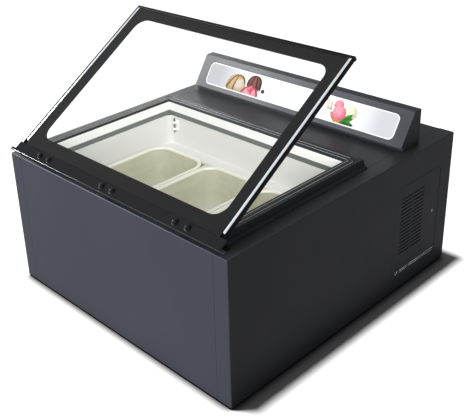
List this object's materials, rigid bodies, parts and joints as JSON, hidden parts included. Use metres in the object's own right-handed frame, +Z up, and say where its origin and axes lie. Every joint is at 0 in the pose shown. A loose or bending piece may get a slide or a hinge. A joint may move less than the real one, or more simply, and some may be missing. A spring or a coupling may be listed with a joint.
{
  "type": "countertop ice cream display freezer",
  "caption": "Low countertop ice cream display freezer with a front-hinged glass lid, lift-out pans in a white liner, a lit sign across the top and a louvred side cover.",
  "frame": {"origin": "centre of the whole object's box, at floor level", "axes": "+X to the right seen from the front, +Y from the front to the back, +Z up"},
  "size_m": [0.7, 0.7576, 0.6086],
  "materials": {
    "charcoal_paint": "satin powder coat, fine texture",
    "galvanised": "satin galvanised sheet",
    "frame_trim": "satin grey anodised extrusion",
    "white_plastic": "satin white",
    "gasket": "matte grey rubber",
    "liner_white": "satin white liner",
    "foam": "matte rigid insulating foam",
    "copper": "satin copper pipe",
    "pan_steel": "satin stainless steel",
    "lid_black": "gloss black",
    "bright_strip": "polished aluminium",
    "glass": "gloss clear toughened glass",
    "lens": "satin opal panel, lit from behind",
    "light_board": "matte white board",
    "black_plastic": "matte black",
    "black_enamel": "satin black enamel",
    "fins": "satin fins",
    "pin_steel": "polished pins and screws",
    "rubber": "matte black rubber",
    "key_grey": "matte grey keys"
  },
  "bodies": {
    "cabinet": {"base_tray": "galvanised", "front_panel": "charcoal_paint", "left_side_panel": "charcoal_paint", "right_side_panel": "charcoal_paint", "rear_panel": "charcoal_paint", "side_cover": "charcoal_paint", "side_cover_screw": "pin_steel", "top_deck": "charcoal_paint", "rear_service_cover": "charcoal_paint", "foot_front_left": "rubber", "foot_front_right": "rubber", "foot_rear_left": "rubber", "foot_rear_right": "rubber", "opening_frame": "frame_trim", "opening_collar": "white_plastic", "lid_gasket": "gasket", "inner_liner": "liner_white", "foam_tub": "foam", "evaporator_coil": "copper", "temperature_probe": "white_plastic", "pan_rack": "pan_steel", "sign_housing": "charcoal_paint", "sign_lens": "lens", "sign_light_board": "light_board", "sign_back_cover": "charcoal_paint", "hinge_rail": "black_enamel", "compressor": "black_enamel", "condenser": "fins", "fan_shroud": "galvanised", "fan_motor": "black_enamel", "controls_plate": "black_plastic", "power_inlet": "black_plastic"},
    "lid": {"lid_frame": "lid_black", "lid_glass": "glass", "lid_strip_left": "bright_strip", "lid_strip_right": "bright_strip", "lid_hinge_bar": "lid_black", "lid_handle_rail": "lid_black", "hinge_leaf_left": "black_enamel", "hinge_leaf_middle": "black_enamel", "hinge_leaf_right": "black_enamel", "hinge_pin_left": "pin_steel", "hinge_pin_middle": "pin_steel", "hinge_pin_right": "pin_steel", "lid_screw_1": "black_plastic", "lid_screw_2": "black_plastic", "lid_screw_3": "black_plastic", "lid_screw_4": "black_plastic", "lid_screw_5": "black_plastic", "lid_screw_6": "black_plastic"},
    "pan_left": {"pan_left": "pan_steel"},
    "pan_middle": {"pan_middle": "pan_steel"},
    "pan_right": {"pan_right": "pan_steel"},
    "fan": {"fan_rotor": "black_plastic"},
    "rocker": {"power_rocker": "black_plastic"},
    "key_up": {"key_up": "key_grey"},
    "key_down": {"key_down": "key_grey"}
  },
  "joints": [
    {"name": "lid_hinge", "type": "hinge", "parent": "cabinet", "child": "lid", "pos_m": [0, -0.35015, 0.35], "axis": [1, 0, 0], "range_deg": [-33.1, 11.9]},
    {"name": "pan_left_lift", "type": "slide", "parent": "cabinet", "child": "pan_left", "axis": [0, 0, 1], "range_m": [0, 0.09]},
    {"name": "pan_middle_lift", "type": "slide", "parent": "cabinet", "child": "pan_middle", "axis": [0, 0, 1], "range_m": [0, 0.09]},
    {"name": "pan_right_lift", "type": "slide", "parent": "cabinet", "child": "pan_right", "axis": [0, 0, 1], "range_m": [0, 0.09]},
    {"name": "fan_spin", "type": "hinge", "parent": "cabinet", "child": "fan", "pos_m": [0.309, 0.23285, 0.13], "axis": [1, 0, 0], "continuous": true},
    {"name": "rocker_tip", "type": "hinge", "parent": "cabinet", "child": "rocker", "pos_m": [-0.122, 0.37235, 0.283], "axis": [1, 0, 0], "range_deg": [-20, 0]},
    {"name": "key_up_press", "type": "slide", "parent": "cabinet", "child": "key_up", "axis": [0, -1, 0], "range_m": [0, 0.0012], "stiffness_N_per_m": 400},
    {"name": "key_down_press", "type": "slide", "parent": "cabinet", "child": "key_down", "axis": [0, -1, 0], "range_m": [0, 0.0012], "stiffness_N_per_m": 400}
  ]
}
